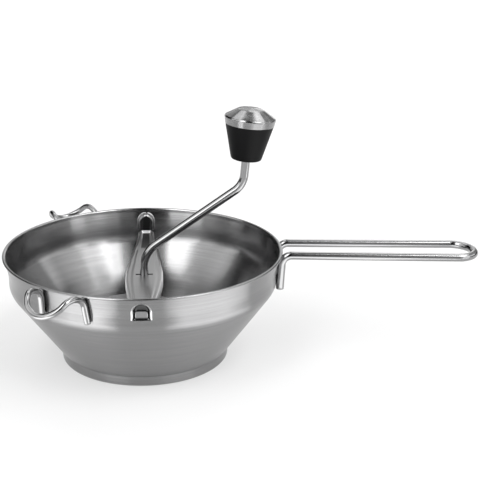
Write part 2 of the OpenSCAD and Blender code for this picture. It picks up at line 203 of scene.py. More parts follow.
def lathe(prof, n=160, closed=True):
    """A profile of (radius, height) turned about Z. An open profile starts and ends on the axis."""
    prof = np.asarray(prof, float)
    th = np.arange(n) * 2 * math.pi / n
    s = np.r_[0, np.cumsum(np.linalg.norm(np.diff(prof, axis=0), axis=1))]
    L = max(1e-6, s[-1])
    if closed:
        V = np.array([[r * math.cos(t), r * math.sin(t), z] for r, z in prof for t in th])
        uv = np.array([[j / n, 0.48 * s[i] / L] for i in range(len(prof)) for j in range(n)])
        return V, ring_faces(len(prof), n, True), uv
    inner = prof[1:-1]
    V = [[r * math.cos(t), r * math.sin(t), z] for r, z in inner for t in th]
    uv = [[j / n, 0.48 * s[i + 1] / L] for i in range(len(inner)) for j in range(n)]
    F = ring_faces(len(inner), n)
    a, b = len(V), len(V) + 1
    V += [[0, 0, prof[0][1]], [0, 0, prof[-1][1]]]
    uv += [[0, 0], [0, 0.48]]
    last = (len(inner) - 1) * n
    F += [(a, (j + 1) % n, j) for j in range(n)]
    F += [(b, last + j, last + (j + 1) % n) for j in range(n)]
    return np.array(V), F, np.array(uv)


def frames_along(P):
    T = np.zeros_like(P)
    T[0], T[-1] = P[1] - P[0], P[-1] - P[-2]
    T[1:-1] = P[2:] - P[:-2]
    T /= np.linalg.norm(T, axis=1)[:, None]
    ref = np.array([0, 1, 0]) if abs(T[0][1]) < 0.9 else np.array([0, 0, 1])
    n = np.cross(T[0], ref)
    N = [n / np.linalg.norm(n)]
    for i in range(1, len(P)):
        v = N[-1] - T[i] * (N[-1] @ T[i])
        N.append(v / np.linalg.norm(v))
    N = np.array(N)
    return T, N, np.cross(T, N)


def tube(P, r, m=44, end=0.5, shape=None):
    """A round wire along P with rounded ends. shape(i, ring) may press a ring flat."""
    P = np.asarray(P, float)
    T, N, B = frames_along(P)
    a = np.arange(m) * 2 * math.pi / m
    s = np.r_[0, np.cumsum(np.linalg.norm(np.diff(P, axis=0), axis=1))]
    rings, ss = [], []

    def ring(c, i, rr):
        return np.array([c + (N[i] * math.cos(t) + B[i] * math.sin(t)) * rr for t in a])

    rise = [math.pi / 2 * k / 4 for k in range(5)]
    for w in rise[:0:-1]:  # the end's rounding, from its small flat to the full section
        rings.append(ring(P[0] + T[0] * end * (1 - math.sin(w)), 0, r - end * (1 - math.cos(w))))
        ss.append(0.0)
    rings = rings[::1]
    for i in range(len(P)):
        if s[i] < end * 1.001 or s[-1] - s[i] < end * 1.001:
            continue
        q = ring(P[i], i, r)
        if shape is not None:
            q = shape(i, P[i], q)
        rings.append(q)
        ss.append(s[i])
    for w in rise[1:]:
        rings.append(ring(P[-1] - T[-1] * end * (1 - math.sin(w)), len(P) - 1, r - end * (1 - math.cos(w))))
        ss.append(s[-1])
    V = list(np.concatenate(rings))
    F = ring_faces(len(rings), m)
    L = s[-1]
    uv = [[j / m, ss[i] / L * 0.98] for i in range(len(rings)) for j in range(m)]
    V += [P[0], P[-1]]
    uv += [[0, 0], [0, 0.98]]
    c0, c1, last = len(V) - 2, len(V) - 1, (len(rings) - 1) * m
    F += [(c0, (j + 1) % m, j) for j in range(m)]
    F += [(c1, last + j, last + (j + 1) % m) for j in range(m)]
    return np.array(V), F, np.array(uv)


# ---------------------------------------------------------------- materials
def new_mat(name):
    m = bpy.data.materials.new(name)
    m.use_nodes = True
    nt = m.node_tree
    for n in list(nt.nodes):
        nt.nodes.remove(n)
    out = nt.nodes.new("ShaderNodeOutputMaterial")
    sh = nt.nodes.new("ShaderNodeBsdfPrincipled")
    nt.links.new(sh.outputs["BSDF"], out.inputs["Surface"])
    return m, nt, sh


def node(nt, kind, **kw):
    n = nt.nodes.new(kind)
    for k, v in kw.items():
        if k.startswith("in_"):
            key = k[3:]
            n.inputs[int(key) if key.isdigit() else key.replace("_", " ")].default_value = v
        else:
            setattr(n, k, v)
    return n


def link(nt, a, b):
    nt.links.new(a, b)


def ramp(nt, fac, stops, interp="LINEAR"):
    n = nt.nodes.new("ShaderNodeValToRGB")
    n.color_ramp.interpolation = interp
    els = n.color_ramp.elements
    while len(els) < len(stops):
        els.new(0.5)
    for e, (p, c) in zip(els, stops):
        e.position = p
        e.color = (c, c, c, 1) if isinstance(c, (int, float)) else (*c, 1)
    link(nt, fac, n.inputs[0])
    return n.outputs[0]


def maths(nt, op, a, b=None, c=None, clamp=False):
    n = nt.nodes.new("ShaderNodeMath")
    n.operation = op
    n.use_clamp = clamp
    for i, v in enumerate((a, b, c)):
        if v is None:
            continue
        if isinstance(v, (int, float)):
            n.inputs[i].default_value = v
        else:
            link(nt, v, n.inputs[i])
    return n.outputs[0]


def brush_vector(nt, mode, along, across):
    """Coordinates for scratches: long along the brushing, short across it. along and across are cycles per metre."""
    co = nt.nodes.new("ShaderNodeTexCoord")
    sep = nt.nodes.new("ShaderNodeSeparateXYZ")
    link(nt, co.outputs["Object"], sep.inputs[0])
    x, y, z = sep.outputs
    comb = nt.nodes.new("ShaderNodeCombineXYZ")
    if mode == "round":  # scratches run round Z
        r = maths(nt, "SQRT", maths(nt, "ADD", maths(nt, "MULTIPLY", x, x), maths(nt, "MULTIPLY", y, y)))
        ang_x = maths(nt, "DIVIDE", x, maths(nt, "ADD", r, 1e-4))
        ang_y = maths(nt, "DIVIDE", y, maths(nt, "ADD", r, 1e-4))
        link(nt, maths(nt, "MULTIPLY", ang_x, 0.09 * along), comb.inputs[0])
        link(nt, maths(nt, "MULTIPLY", ang_y, 0.09 * along), comb.inputs[1])
        link(nt, maths(nt, "MULTIPLY", maths(nt, "ADD", z, maths(nt, "MULTIPLY", r, 0.7)), across), comb.inputs[2])
    elif mode == "y":
        link(nt, maths(nt, "MULTIPLY", y, along), comb.inputs[1])
        link(nt, maths(nt, "MULTIPLY", x, across), comb.inputs[0])
        link(nt, maths(nt, "MULTIPLY", z, across * 0.5), comb.inputs[2])
    elif mode == "x":
        link(nt, maths(nt, "MULTIPLY", x, along), comb.inputs[0])
        link(nt, maths(nt, "MULTIPLY", y, across), comb.inputs[1])
        link(nt, maths(nt, "MULTIPLY", z, across), comb.inputs[2])
    elif mode == "uv":  # along the wire's length
        uvn = nt.nodes.new("ShaderNodeUVMap")
        uvn.uv_map = "run"
        s2 = nt.nodes.new("ShaderNodeSeparateXYZ")
        link(nt, uvn.outputs[0], s2.inputs[0])
        a = maths(nt, "MULTIPLY", s2.outputs[0], 2 * math.pi)
        link(nt, maths(nt, "MULTIPLY", maths(nt, "COSINE", a), across), comb.inputs[0])
        link(nt, maths(nt, "MULTIPLY", maths(nt, "SINE", a), across), comb.inputs[1])
        link(nt, maths(nt, "MULTIPLY", s2.outputs[1], along), comb.inputs[2])
    return comb.outputs[0], co


def steel(name, mode, color, rough, aniso=0.0, rot=0.25, along=25.0, across=2600.0, spread=0.05, bump=0.06,
          tint=0.05, smudge=0.04, edge=0.0, tangent=True, seats=0.0, bar=0.0):
    """Brushed or drawn stainless steel: scratches in roughness, colour and bump, soft smudges over them."""
    m, nt, sh = new_mat(name)
    vec, co = brush_vector(nt, mode, along, across)
    fine = node(nt, "ShaderNodeTexNoise", in_Scale=1.0, in_Detail=3.0, in_Roughness=0.6)
    link(nt, vec, fine.inputs["Vector"])
    vec2, _ = brush_vector(nt, mode, along * 0.5, across * 0.42)
    wide = node(nt, "ShaderNodeTexNoise", in_Scale=1.0, in_Detail=4.0, in_Roughness=0.55)
    link(nt, vec2, wide.inputs["Vector"])
    cloud = node(nt, "ShaderNodeTexNoise", in_Scale=28.0, in_Detail=4.0, in_Roughness=0.55)
    link(nt, co.outputs["Object"], cloud.inputs["Vector"])
    both = maths(nt, "ADD", maths(nt, "MULTIPLY", fine.outputs[0], 0.55), maths(nt, "MULTIPLY", wide.outputs[0], 0.45))
    # roughness
    r1 = maths(nt, "MULTIPLY_ADD", maths(nt, "SUBTRACT", both, 0.5), spread * 4, rough)
    r2 = maths(nt, "MULTIPLY_ADD", maths(nt, "SUBTRACT", cloud.outputs[0], 0.5), smudge * 2, r1)
    r3 = maths(nt, "MAXIMUM", r2, 0.03)
    link(nt, r3, sh.inputs["Roughness"])
    # colour
    dark = tuple(c * (1 - tint * 2.2) for c in color)
    light = tuple(min(1, c * (1 + tint)) for c in color)
    col = ramp(nt, both, [(0.32, dark), (0.62, light)])
    if edge > 0:
        geo = nt.nodes.new("ShaderNodeNewGeometry")
        worn = ramp(nt, geo.outputs["Pointiness"], [(0.515, 0.0), (0.56, 1.0)])
        mix = nt.nodes.new("ShaderNodeMix")
        mix.data_type = "RGBA"
        link(nt, maths(nt, "MULTIPLY", worn, edge), mix.inputs[0])
        link(nt, col, mix.inputs[6])
        mix.inputs[7].default_value = (*[min(1, c * 1.25) for c in color], 1)
        col = mix.outputs[2]
    if bar > 0:  # painted highlight along the rounded edges and at the ends where the bar turns up into the seats, painted shade in the neck grooves
        tn = nt.nodes.new("ShaderNodeSeparateXYZ")
        link(nt, co.outputs["Normal"], tn.inputs[0])
        tp = nt.nodes.new("ShaderNodeSeparateXYZ")
        link(nt, co.outputs["Object"], tp.inputs[0])
        side = maths(nt, "ABSOLUTE", tn.outputs[0])
        ax, ay = maths(nt, "ABSOLUTE", tp.outputs[0]), maths(nt, "ABSOLUTE", tp.outputs[1])
        # painted highlight on the faces that turn sideways, the bar's rounded edges
        painted_edge_highlight = ramp(nt, side, [(0.3, 0.0), (0.55, 1.0), (0.9, 1.0), (1.0, 0.5)])
        # painted highlight across the bends at both ends of the bar
        ends = maths(nt, "MULTIPLY", maths(nt, "MULTIPLY", maths(nt, "SUBTRACT", ay, 0.0851), 1 / 0.0008, clamp=True),
                     maths(nt, "MULTIPLY", maths(nt, "SUBTRACT", 0.0884, ay), 1 / 0.0005, clamp=True))
        painted_edge_highlight = maths(nt, "MAXIMUM", painted_edge_highlight, ends)
        mix = nt.nodes.new("ShaderNodeMix")
        mix.data_type = "RGBA"
        link(nt, maths(nt, "MULTIPLY", painted_edge_highlight, bar), mix.inputs[0])
        link(nt, col, mix.inputs[6])
        mix.inputs[7].default_value = (*[min(1, c * 2.6) for c in color], 1)
        col = mix.outputs[2]
        # painted shade: the neck grooves are darkened to 0.3 of the colour
        mid = maths(nt, "MULTIPLY", maths(nt, "SUBTRACT", 0.0033, ax), 1 / 0.0005, clamp=True)
        far = maths(nt, "MULTIPLY", maths(nt, "SUBTRACT", ay, 0.0535), 1 / 0.002, clamp=True)
        near = maths(nt, "MULTIPLY", maths(nt, "SUBTRACT", 0.0856, ay), 1 / 0.0006, clamp=True)
        mix = nt.nodes.new("ShaderNodeMix")
        mix.data_type = "RGBA"
        link(nt, maths(nt, "MULTIPLY", maths(nt, "MULTIPLY", mid, far), maths(nt, "MULTIPLY", near, bar)), mix.inputs[0])
        link(nt, col, mix.inputs[6])
        mix.inputs[7].default_value = (*[c * 0.3 for c in color], 1)
        col = mix.outputs[2]
    if seats > 0:  # painted shade: the sheet's colour is darkened inside the two seats pressed into the wall
        sep = nt.nodes.new("ShaderNodeSeparateXYZ")
        link(nt, co.outputs["Object"], sep.inputs[0])
        x, y, z = sep.outputs
        r = maths(nt, "SQRT", maths(nt, "ADD", maths(nt, "MULTIPLY", x, x), maths(nt, "MULTIPLY", y, y)))
        run = nt.nodes.new("ShaderNodeUVMap")
        run.uv_map = "run"
        s2 = nt.nodes.new("ShaderNodeSeparateXYZ")
        link(nt, run.outputs[0], s2.inputs[0])
        inner = maths(nt, "GREATER_THAN", s2.outputs[1], 0.245)
        deep_o = maths(nt, "MULTIPLY", maths(nt, "SUBTRACT", 0.0901, r), 1 / 0.0012, clamp=True)
        deep_i = maths(nt, "MULTIPLY", maths(nt, "SUBTRACT", 0.0877, r), 1 / 0.0003, clamp=True)
        seat_painted_shade = maths(nt, "ADD", maths(nt, "MULTIPLY", deep_i, inner), maths(nt, "MULTIPLY", deep_o, maths(nt, "SUBTRACT", 1.0, inner)))
        high = maths(nt, "MULTIPLY", maths(nt, "SUBTRACT", z, 0.0605), 1 / 0.0001, clamp=True)
        mix = nt.nodes.new("ShaderNodeMix")
        mix.data_type = "RGBA"
        link(nt, maths(nt, "MULTIPLY", maths(nt, "MULTIPLY", seat_painted_shade, high), seats), mix.inputs[0])
        link(nt, col, mix.inputs[6])
        mix.inputs[7].default_value = (*[c * 0.3 for c in color], 1)
        col = mix.outputs[2]
        # and a painted highlight on the lip round each seat
        up = maths(nt, "POWER", maths(nt, "MULTIPLY", maths(nt, "SUBTRACT", z, 0.0622), 1 / 0.0104, clamp=True), 1.5)
        wall = maths(nt, "MULTIPLY_ADD", up, 0.00185, 0.0913)
        sunk = maths(nt, "SUBTRACT", wall, r)
        lip_o = maths(nt, "MULTIPLY", maths(nt, "MULTIPLY", maths(nt, "SUBTRACT", sunk, 0.00008), 1 / 0.00015, clamp=True),
                      maths(nt, "MULTIPLY", maths(nt, "SUBTRACT", 0.0014, sunk), 1 / 0.0004, clamp=True))
        lip_i = maths(nt, "MULTIPLY", maths(nt, "MULTIPLY", maths(nt, "SUBTRACT", r, 0.0877), 1 / 0.0002, clamp=True),
                      maths(nt, "MULTIPLY", maths(nt, "SUBTRACT", 0.0887, r), 1 / 0.0003, clamp=True))
        lip_i = maths(nt, "MAXIMUM", lip_i, maths(nt, "MULTIPLY", maths(nt, "MULTIPLY", maths(nt, "SUBTRACT", sunk, 0.0009), 1 / 0.00015, clamp=True),
                                                  maths(nt, "MULTIPLY", maths(nt, "SUBTRACT", 0.0014, sunk), 1 / 0.0002, clamp=True)))
        lip = maths(nt, "ADD", maths(nt, "MULTIPLY", lip_i, inner), maths(nt, "MULTIPLY", lip_o, maths(nt, "SUBTRACT", 1.0, inner)))
        mix = nt.nodes.new("ShaderNodeMix")
        mix.data_type = "RGBA"
        link(nt, maths(nt, "MULTIPLY", lip, high), mix.inputs[0])
        link(nt, col, mix.inputs[6])
        mix.inputs[7].default_value = (*[min(1, c * 2.3) for c in color], 1)
        col = mix.outputs[2]
    link(nt, col, sh.inputs["Base Color"])
    b = nt.nodes.new("ShaderNodeBump")
    b.inputs["Strength"].default_value = bump
    b.inputs["Distance"].default_value = 0.0002
    link(nt, both, b.inputs["Height"])
    link(nt, b.outputs[0], sh.inputs["Normal"])
    sh.inputs["Metallic"].default_value = 1.0
    if aniso:
        sh.inputs["Anisotropic"].default_value = aniso
        sh.inputs["Anisotropic Rotation"].default_value = rot
        if tangent:
            t = nt.nodes.new("ShaderNodeTangent")
            t.direction_type = "UV_MAP"
            t.uv_map = "run"
            link(nt, t.outputs[0], sh.inputs["Tangent"])
    return m


def plastic(name):
    m, nt, sh = new_mat(name)
    co = nt.nodes.new("ShaderNodeTexCoord")
    grain = node(nt, "ShaderNodeTexNoise", in_Scale=2200.0, in_Detail=3.0, in_Roughness=0.6)
    cloud = node(nt, "ShaderNodeTexNoise", in_Scale=60.0, in_Detail=4.0, in_Roughness=0.6)
    for n in (grain, cloud):
        link(nt, co.outputs["Object"], n.inputs["Vector"])
    col = ramp(nt, cloud.outputs[0], [(0.3, (0.002, 0.002, 0.0023)), (0.75, (0.0034, 0.0034, 0.0037))])
    geo = nt.nodes.new("ShaderNodeNewGeometry")
    worn = ramp(nt, geo.outputs["Pointiness"], [(0.52, 0.0), (0.58, 1.0)])
    mix = nt.nodes.new("ShaderNodeMix")
    mix.data_type = "RGBA"
    link(nt, maths(nt, "MULTIPLY", worn, 0.4), mix.inputs[0])
    link(nt, col, mix.inputs[6])
    mix.inputs[7].default_value = (0.009, 0.009, 0.0095, 1)
    link(nt, mix.outputs[2], sh.inputs["Base Color"])
    r = maths(nt, "MULTIPLY_ADD", cloud.outputs[0], 0.16, 0.40)
    r = maths(nt, "MULTIPLY_ADD", grain.outputs[0], 0.08, r)
    link(nt, r, sh.inputs["Roughness"])
    b = nt.nodes.new("ShaderNodeBump")
    b.inputs["Strength"].default_value = 0.12
    b.inputs["Distance"].default_value = 0.0001
    link(nt, grain.outputs[0], b.inputs["Height"])
    link(nt, b.outputs[0], sh.inputs["Normal"])
    sh.inputs["Specular IOR Level"].default_value = 0.13
    return m


# the bowl's steel has painted shade inside the seats and a painted highlight on their lips (seats)
M_BOWL = steel("bowl_steel", "round", (0.270, 0.270, 0.272), 0.23, aniso=1.0, rot=0.25, along=15, across=2600, spread=0.045,
               bump=0.06, tint=0.07, smudge=0.03, seats=0.8)
# the bar's steel has painted highlights on its edges and ends and painted shade in its neck grooves (bar)
M_BAR = steel("bar_steel", "y", (0.281, 0.281, 0.283), 0.33, along=40, across=2600, spread=0.05, bump=0.05, edge=0.4, bar=0.9)
M_WIRE = steel("wire_steel", "uv", (0.311, 0.311, 0.313), 0.16, along=8, across=6, spread=0.03, bump=0.01, tint=0.07, smudge=0.02)
M_ROD = steel("rod_steel", "uv", (0.311, 0.311, 0.313), 0.14, along=10, across=6, spread=0.03, bump=0.01, tint=0.12, smudge=0.02)
# the blade is the same steel as the rest, given a darker base colour as painted shade
M_BLADE = steel("blade_steel", "y", (0.185, 0.185, 0.187), 0.3, along=30, across=2200, spread=0.06, bump=0.08, edge=0.4)
M_DISC = steel("disc_steel", "x", (0.252, 0.252, 0.254), 0.3, along=30, across=2400, spread=0.06, bump=0.08, edge=0.3)
M_CAP = steel("cap_steel", "round", (0.28, 0.28, 0.282), 0.19, aniso=1.0, rot=0.25, along=26, across=5200, spread=0.05, bump=0.05, tint=0.08)
M_SMALL = steel("turned_steel", "round", (0.281, 0.281, 0.283), 0.24, along=30, across=4200, spread=0.05, bump=0.05, edge=0.3)
M_SPRING = steel("spring_steel", "x", (0.252, 0.252, 0.255), 0.26, along=300, across=900, spread=0.05, bump=0.03)
M_KNOB = plastic("knob_plastic")


# ---------------------------------------------------------------- bowl
def r_out(z):
    """Outer radius of the upright wall."""
    return WALL_R if z < 62.2 else WALL_R + 0.05 + 1.85 * ((z - 62.2) / 10.4) ** 1.5


def bowl():
    low = fillet([(51.5, 0.0), (57.5, 0.0), (57.5, 6.8), (58.25, 7.28), (WALL_R, 53.1), (WALL_R + 0.01, 58.0)],
                 [0, 1.3, 0.45, 0.9, 12, 0], 6)
    low = densify(low, 2.4)
    zs = [58.4, 58.8, 59.2, 59.6, 59.9, 60.1, 60.3, 60.45, SEAT_Z]
    zs += list(np.arange(SEAT_Z + 0.235, 73.5, 0.235))
    wall = np.array([[r_out(z), z] for z in zs])
    O = np.concatenate([low, wall])
    k_slit = len(low) + 8
    I = offset2(O, SHEET)
    n_o = len(O)
    top = O[-1]
    hem = fillet([top, (top[0] + 0.2, BOWL_H - 1.5), (RIM_R, BOWL_H - 1.58), (RIM_R, BOWL_H), (92.75, BOWL_H), I[-1]],
                 [0, 0.2, 0.76, 0.78, 1.1, 0], 10)[1:-1]
    O[0] = (51.65, 0.0)
    I[0] = (51.65, SHEET)
    lip = np.array([[51.5, SHEET - 0.15], [51.5, 0.15]])
    rows = np.concatenate([O, hem, I[::-1], lip])
    row_z = np.r_[O[:, 1], hem[:, 1], O[::-1, 1], [0.5, 0.2]]
    kind = ["o"] * n_o + ["h"] * len(hem) + ["i"] * n_o + ["l"] * 2
    # columns: fine near the two seats
    base = np.arange(0, 360, 1.5)
    near = np.arange(-6.0, 6.0001, 0.16)
    th = [a for a in base if min(abs(a - 90), abs(a - 270)) > 6.4]
    th += [90 + a for a in near] + [270 + a for a in near]
    th = np.radians(np.sort(th))
    nc, nr = len(th), len(rows)
    V = np.zeros((nr, nc, 3))
    V[:, :, 0] = rows[:, :1] * np.cos(th)
    V[:, :, 1] = rows[:, :1] * np.sin(th)
    V[:, :, 2] = rows[:, 1:2]
    raw = V.copy()
    lance = np.zeros(nc, bool)
    for i in range(nr):
        if kind[i] not in "oi" or row_z[i] < SEAT_Z - 0.01 or row_z[i] > 73.45:
            continue
        x = V[i, :, 0]
        z = row_z[i]
        outer = kind[i] == "o"
        lip = 0.6 - 0.5 * float(smooth01((z - 66.0) / 4.0)) if outer else 0.35
        hw = SEAT_HW + lip
        d = hw - np.abs(x) if z < SEAT_C else hw - np.sqrt(x * x + (z - SEAT_C) ** 2)
        d = np.where(np.abs(V[i, :, 1]) > 80, d, -1)
        yw = np.abs(V[i, :, 1])
        if outer:  # a rolled lip, then a steep side
            floor = 87.92 + 1.2 * float(smooth01((z - 66.6) / 6.2))
            part = np.interp(d, [0, 0.3, 0.6, 0.95, 1.35, 1.75, 2.1, 2.35, 2.6, 2.8], [0, 0.03, 0.08, 0.15, 0.24, 0.36, 0.55, 0.76, 0.93, 1])
        else:
            floor = 87.28
            part = smooth01(d / 2.1)
        y = yw + (floor - yw) * part
        y = np.where(d > 0, np.minimum(y, yw), yw)
        V[i, :, 1] = np.sign(V[i, :, 1]) * y
    lance = (np.abs(raw[k_slit, :, 0]) < SEAT_HW + 0.7) & (np.abs(raw[k_slit, :, 1]) > 80)
    ko, ki = k_slit, n_o + len(hem) + (n_o - 1 - k_slit)
    verts = list(V.reshape(-1, 3))
    uv = []
    s = np.r_[0, np.cumsum(np.linalg.norm(np.diff(rows, axis=0), axis=1))]
    for i in range(nr):
        for j in range(nc):
            uv.append([th[j] / (2 * math.pi), 0.48 * s[i] / s[-1]])
    low_id = {}
    for i in (ko, ki):
        for j in range(nc):
            if lance[j]:
                low_id[(i, j)] = len(verts)
                verts.append(raw[i, j])
                uv.append(uv[i * nc + j])

    def vid(i, j, below):
        if below and (i, j) in low_id:
            return low_id[(i, j)]
        return i * nc + j

    F = []
    for i in range(nr):
        i2 = (i + 1) % nr
        # rows below the slit use the undisplaced copy
        lo_o = i < ko
        lo_i = i >= ki
        for j in range(nc):
            j2 = (j + 1) % nc
            b1 = (i == ko and False) or (i == ki and True)
            q = []
            for (a, c) in ((i, j), (i, j2), (i2, j2), (i2, j)):
                below = (a == ko and i < ko) or (a == ki and i >= ki)
                q.append(vid(a, c, below))
            F.append(tuple(q))
    for j in range(nc):
        j2 = (j + 1) % nc
        if lance[j] or lance[j2]:
            F.append((vid(ko, j, False), vid(ki, j, False), vid(ki, j2, False), vid(ko, j2, False)))
            F.append((vid(ko, j, True), vid(ko, j2, True), vid(ki, j2, True), vid(ki, j, True)))
    return np.array(verts), F, np.array(uv)


V, F, U = bowl()
BOWL = make("strainer_bowl", V, F, "bowl", ["bowl"], M_BOWL, uv=U, sharp=42)


# ---------------------------------------------------------------- handle
def handle():
    r = 2.75
    leg = math.sqrt((WALL_R + 0.05 + r - 0.12) ** 2 - 13.1 ** 2)
    tip = 231.8 - r - 14.5
    zt = 74.1 - 2.8
    half = [(leg - 0.5, -13.1, 50.1), (leg + 0.9, -13.1, 74.1)]
    p = half + [(tip + 14.5, -14.5, zt - 0.3), (tip + 14.5, 14.5, zt - 0.3)] + [(a, -b, c) for a, b, c in half[::-1]]
    path = densify(fillet(p, [0, 6.6, 13.9, 13.9, 6.6, 0], 3), 2.0)
    return tube(path, r, 56, end=0.45)


WRAP["handle_loop"] = (1, 0)
V, F, U = handle()
make("handle_loop", V, F, "bowl", ["handle_wire"], M_WIRE, uv=U)


# ---------------------------------------------------------------- pot hooks
def soft(p, m=14):
    """One easy curve along a few points; the first and last corner keep their straight legs."""
    p = [np.array(q, float) for q in p]
    n = len(p) - 1

    def lead(a, b, end):
        return a + (b - a) * (min(0.5, 5.5 / float(np.linalg.norm(b - a))) if end else 0.5)

    out = [p[0]]
    for i in range(1, n):
        a, b = lead(p[i], p[i - 1], i == 1), lead(p[i], p[i + 1], i == n - 1)
        out += [a * (1 - w) ** 2 + p[i] * 2 * w * (1 - w) + b * w * w for w in [k / m for k in range(0 if i == 1 else 1, m + 1)]]
    return np.array(out + [p[n]])


def hook(turn):
    kr = 2.0
    b = WALL_R + 0.05 + kr - 0.25
    h = [(17.2, math.sqrt(b * b - 17.2 ** 2), 57.5), (16.2, 94.1, 74.1),
         (15.4, 106.4, 78.2), (11.4, 114.0, 71.2), (0, 117.5, 67.0)]
    p = [(q[1], q[0], q[2]) for q in h] + [(q[1], -q[0], q[2]) for q in h[3::-1]]
    path = densify(soft(p), 1.2)
    a = math.radians(turn)
    R = np.array([[math.cos(a), -math.sin(a), 0], [math.sin(a), math.cos(a), 0], [0, 0, 1]])
    return tube(path @ R.T, kr, 44, end=0.4)


for nm, nd, turn in (("front_pot_hook", "pot_hook_front", -121.4), ("back_pot_hook", "pot_hook_back", 122.6)):
    V, F, U = hook(turn)
    make(nm, V, F, "bowl", [nd], M_WIRE, uv=U)


# ---------------------------------------------------------------- cross bar
def bar_width(y):
    y = abs(y)
    pts = [(0, 12.9), (8, 12.9), (30, 11.1), (46, 9.3), (64, 7.2), (83.5, 5.95), (85.6, 5.6), (86.6, 4.2), (87.2, 3.8)]
    return float(np.interp(y, [a for a, _ in pts], [b for _, b in pts]))


def smooth_width(y):
    return sum(bar_width(y + k * 1.1) for k in (-2, -1, 0, 1, 2)) / 5 if abs(y) < 84 else bar_width(y)


def cross_bar():
    end_z = SEAT_Z - 1.42
    half = fillet([(0, BAR_MID), (24, BAR_MID), (TAB_Y, end_z), (TAB_Y, TAB_TOP)], [0, 40, 3.2, 0], 6)
    half = densify(half, 0.8)
    path = np.concatenate([np.c_[-half[:0:-1, 0], half[:0:-1, 1]], half])
    n = len(path)
    T = np.gradient(path, axis=0)
    T /= np.linalg.norm(T, axis=1)[:, None]
    Nn = np.c_[-T[:, 1], T[:, 0]]
    nq, nb, ne = 22, 7, 5
    V, uv = [], []
    for i in range(n):
        y, z = path[i]
        ay = abs(y)
        up = ay > 88.6 and z > end_z + 2.5           # on the tab
        if up:
            w = 3.8 if z < TAB_TOP - 1.4 else 2.4 + math.sqrt(max(0.0, 1.4 ** 2 - (z - TAB_TOP + 1.4) ** 2))
        else:
            w = smooth_width(ay)
        f = float(np.interp(ay, [0, 14, 46, 62, 82.5, 84.6], [4.5, 4.5, 4.1, 2.4, 1.7, 0.0]))
        ro = 2.0 * float(smooth01((85.2 - ay) / 5)) + 0.12
        ro = min(ro, f + 0.6)
        ri = max(0.12, ro - 1.0)
        g_deep = 1.15 * float(smooth01((ay - 52.2) / 2.6)) * float(1 - smooth01((ay - 85.6) / 2.2))
        wide = float(1 - smooth01((ay - 44) / 12))
        flat = w - ro

        def fall(x):
            """Depth of the pressed shape at x across the bar."""
            q = abs(x) / max(0.1, w)
            groove = g_deep * float(1 - smooth01((abs(x) - 2.4) / 1.0))
            dip = 0.5 * wide * float(smooth01((q - 0.55) / 0.18))
            return groove + dip

        edge_fall = 0.5 * wide
        top = [(flat * k / nq, 0.5) for k in range(nq + 1)]
        top = [(x, b - fall(x)) for x, b in top]
        bend = [(flat + ro * math.sin(math.pi / 2 * k / nb), 0.5 - edge_fall - ro + ro * math.cos(math.pi / 2 * k / nb)) for k in range(1, nb + 1)]
        zb = -0.5 - edge_fall - f
        out = [(w, bend[-1][1] + (zb + 0.25 - bend[-1][1]) * k / 3) for k in range(1, 4)]
        tipc = [(w - 0.25 + 0.25 * math.cos(a), zb + 0.25 - 0.25 * math.sin(a)) for a in (math.pi / 4, math.pi / 2)]
        tipc += [(w - 0.75 - 0.25 * math.sin(a), zb + 0.25 - 0.25 * math.cos(a)) for a in (0, math.pi / 4, math.pi / 2)]
        zi = -0.5 - edge_fall - ri
        inn = [(w - 1.0, zb + 0.25 + (min(zi, 0) - zb - 0.25) * k / 3) for k in range(1, 4)] if f > 0.5 else [(w - 1.0, -0.5 - edge_fall)] * 3
        if f <= 0.5:
            tipc = [(w - 0.1, -0.45 - edge_fall), (w - 0.25, -0.5 - edge_fall), (w - 0.5, -0.5 - edge_fall), (w - 0.75, -0.5 - edge_fall), (w - 0.9, -0.5 - edge_fall)]
            out = [(w, 0.38 - edge_fall - 0.25 * k) for k in range(1, 4)]
        ib = [(w - 1.0 - ri + ri * math.cos(math.pi / 2 * k / nb), -0.5 - edge_fall - ri + ri * math.sin(math.pi / 2 * k / nb)) for k in range(1, nb + 1)]
        if f <= 0.5:
            ib = [(w - 1.0 - ri * k / nb, -0.5 - edge_fall) for k in range(1, nb + 1)]
        xl = ib[-1][0]
        bot = [(xl * (1 - k / nq), -0.5 - fall(xl * (1 - k / nq))) for k in range(1, nq + 1)]
        right = top + bend + out + tipc + inn + ib + bot           # centre top round to centre bottom
        left = [(-x, b) for x, b in right[-2:0:-1]]
        sec = right + left
        for (x, b) in sec:
            V.append([x, y + Nn[i, 0] * b, z + Nn[i, 1] * b])
        uv += [[k / len(sec), 0.0] for k in range(len(sec))]
    m = len(sec)
    F = ring_faces(n, m)
    F += [tuple(range(m - 1, -1, -1)), tuple((n - 1) * m + k for k in range(m))]
    return np.array(V), F


V, F = cross_bar()
BAR = make("cross_bar_pressing", V, F, "bowl", ["cross_bar"], M_BAR, sharp=45)


def cut(ob, cutters):
    """Takes closed shapes out of a piece and keeps its shading."""
    for k, (CV, CF) in enumerate(cutters):
        CV = np.asarray(CV, float)
        if signed_volume(CV - CV.mean(0), CF) < 0:
            CF = [tuple(reversed(f)) for f in CF]
        me = bpy.data.meshes.new("cutter")
        me.from_pydata((CV * MM).tolist(), [], [tuple(int(i) for i in f) for f in CF])
        c = bpy.data.objects.new("cutter", me)
        bpy.context.scene.collection.objects.link(c)
        md = ob.modifiers.new("cut", "BOOLEAN")
        md.operation = "DIFFERENCE"
        md.solver = "EXACT"
        md.object = c
        apply_mods(ob)
        bpy.data.objects.remove(c)
        bpy.data.meshes.remove(me)
    ob.data.set_sharp_from_angle(angle=math.radians(40))


